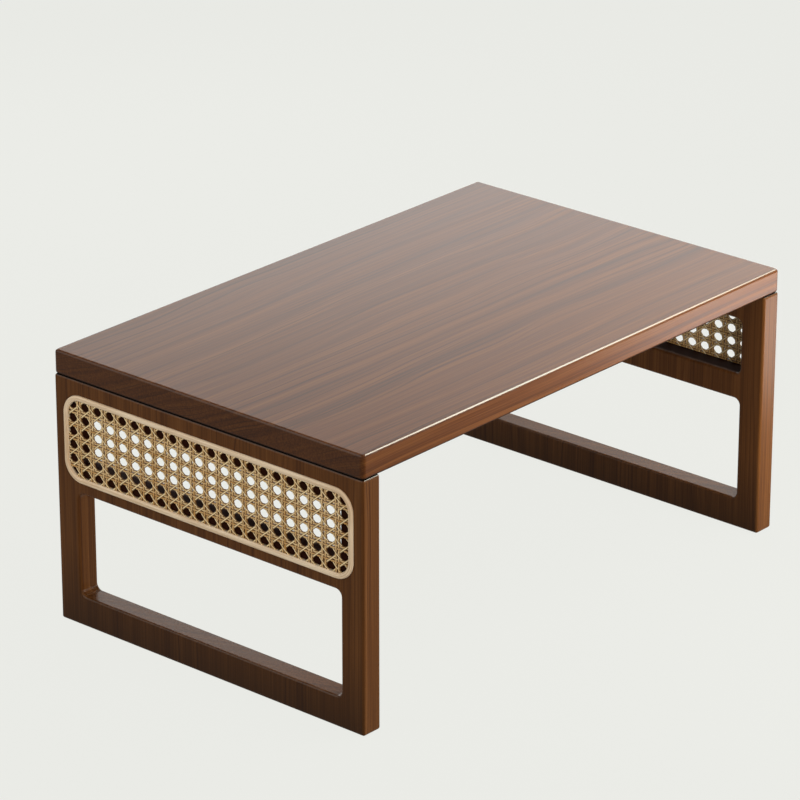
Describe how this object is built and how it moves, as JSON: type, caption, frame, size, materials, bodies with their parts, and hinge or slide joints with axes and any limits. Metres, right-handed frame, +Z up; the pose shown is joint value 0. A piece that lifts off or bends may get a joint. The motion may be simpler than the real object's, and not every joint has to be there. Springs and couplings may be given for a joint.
{
  "type": "low folding table",
  "caption": "Low rectangular tea table with a rounded wooden top on open wooden leg frames that fold in under it, each with a woven cane panel edged in reed.",
  "frame": {"origin": "on the floor under the table's centre", "axes": "+X along the length of the top, +Y across it, +Z up"},
  "size_m": [0.7262, 0.452, 0.325],
  "materials": {
    "top_wood": "satin lacquer",
    "leg_wood": "satin lacquer",
    "cane": "natural gloss bark",
    "reed": "sanded",
    "bracket_steel": "black powder coat",
    "pin_steel": "zinc plated",
    "spring_steel": "tempered blank",
    "screw_steel": "black oxide",
    "felt": "pressed felt"
  },
  "bodies": {
    "tabletop": {"tabletop": "top_wood", "left_front_top_plate": "bracket_steel", "left_front_hinge_pin": "pin_steel", "left_front_detent_spring": "spring_steel", "left_back_top_plate": "bracket_steel", "left_back_hinge_pin": "pin_steel", "left_back_detent_spring": "spring_steel", "left_spring_rivets": "pin_steel", "left_top_plate_screws": "screw_steel", "right_front_top_plate": "bracket_steel", "right_front_hinge_pin": "pin_steel", "right_front_detent_spring": "spring_steel", "right_back_top_plate": "bracket_steel", "right_back_hinge_pin": "pin_steel", "right_back_detent_spring": "spring_steel", "right_spring_rivets": "pin_steel", "right_top_plate_screws": "screw_steel"},
    "left_leg": {"left_front_stile": "leg_wood", "left_back_stile": "leg_wood", "left_top_rail": "leg_wood", "left_middle_rail": "leg_wood", "left_bottom_rail": "leg_wood", "left_cane_panel": "cane", "left_reed_spline": "reed", "left_foot_pads": "felt", "left_front_leg_plate": "bracket_steel", "left_back_leg_plate": "bracket_steel", "left_leg_plate_screws": "screw_steel"},
    "right_leg": {"right_front_stile": "leg_wood", "right_back_stile": "leg_wood", "right_top_rail": "leg_wood", "right_middle_rail": "leg_wood", "right_bottom_rail": "leg_wood", "right_cane_panel": "cane", "right_reed_spline": "reed", "right_foot_pads": "felt", "right_front_leg_plate": "bracket_steel", "right_back_leg_plate": "bracket_steel", "right_leg_plate_screws": "screw_steel"}
  },
  "joints": [
    {"name": "left_leg_fold", "type": "hinge", "parent": "tabletop", "child": "left_leg", "pos_m": [-0.324, 0, 0.2875], "axis": [0, -1, 0], "range_deg": [0, 90], "deforming": ["left_front_detent_spring", "left_back_detent_spring"]},
    {"name": "right_leg_fold", "type": "hinge", "parent": "tabletop", "child": "right_leg", "pos_m": [0.324, 0, 0.2875], "axis": [0, 1, 0], "range_deg": [0, 90], "deforming": ["right_front_detent_spring", "right_back_detent_spring"]}
  ]
}
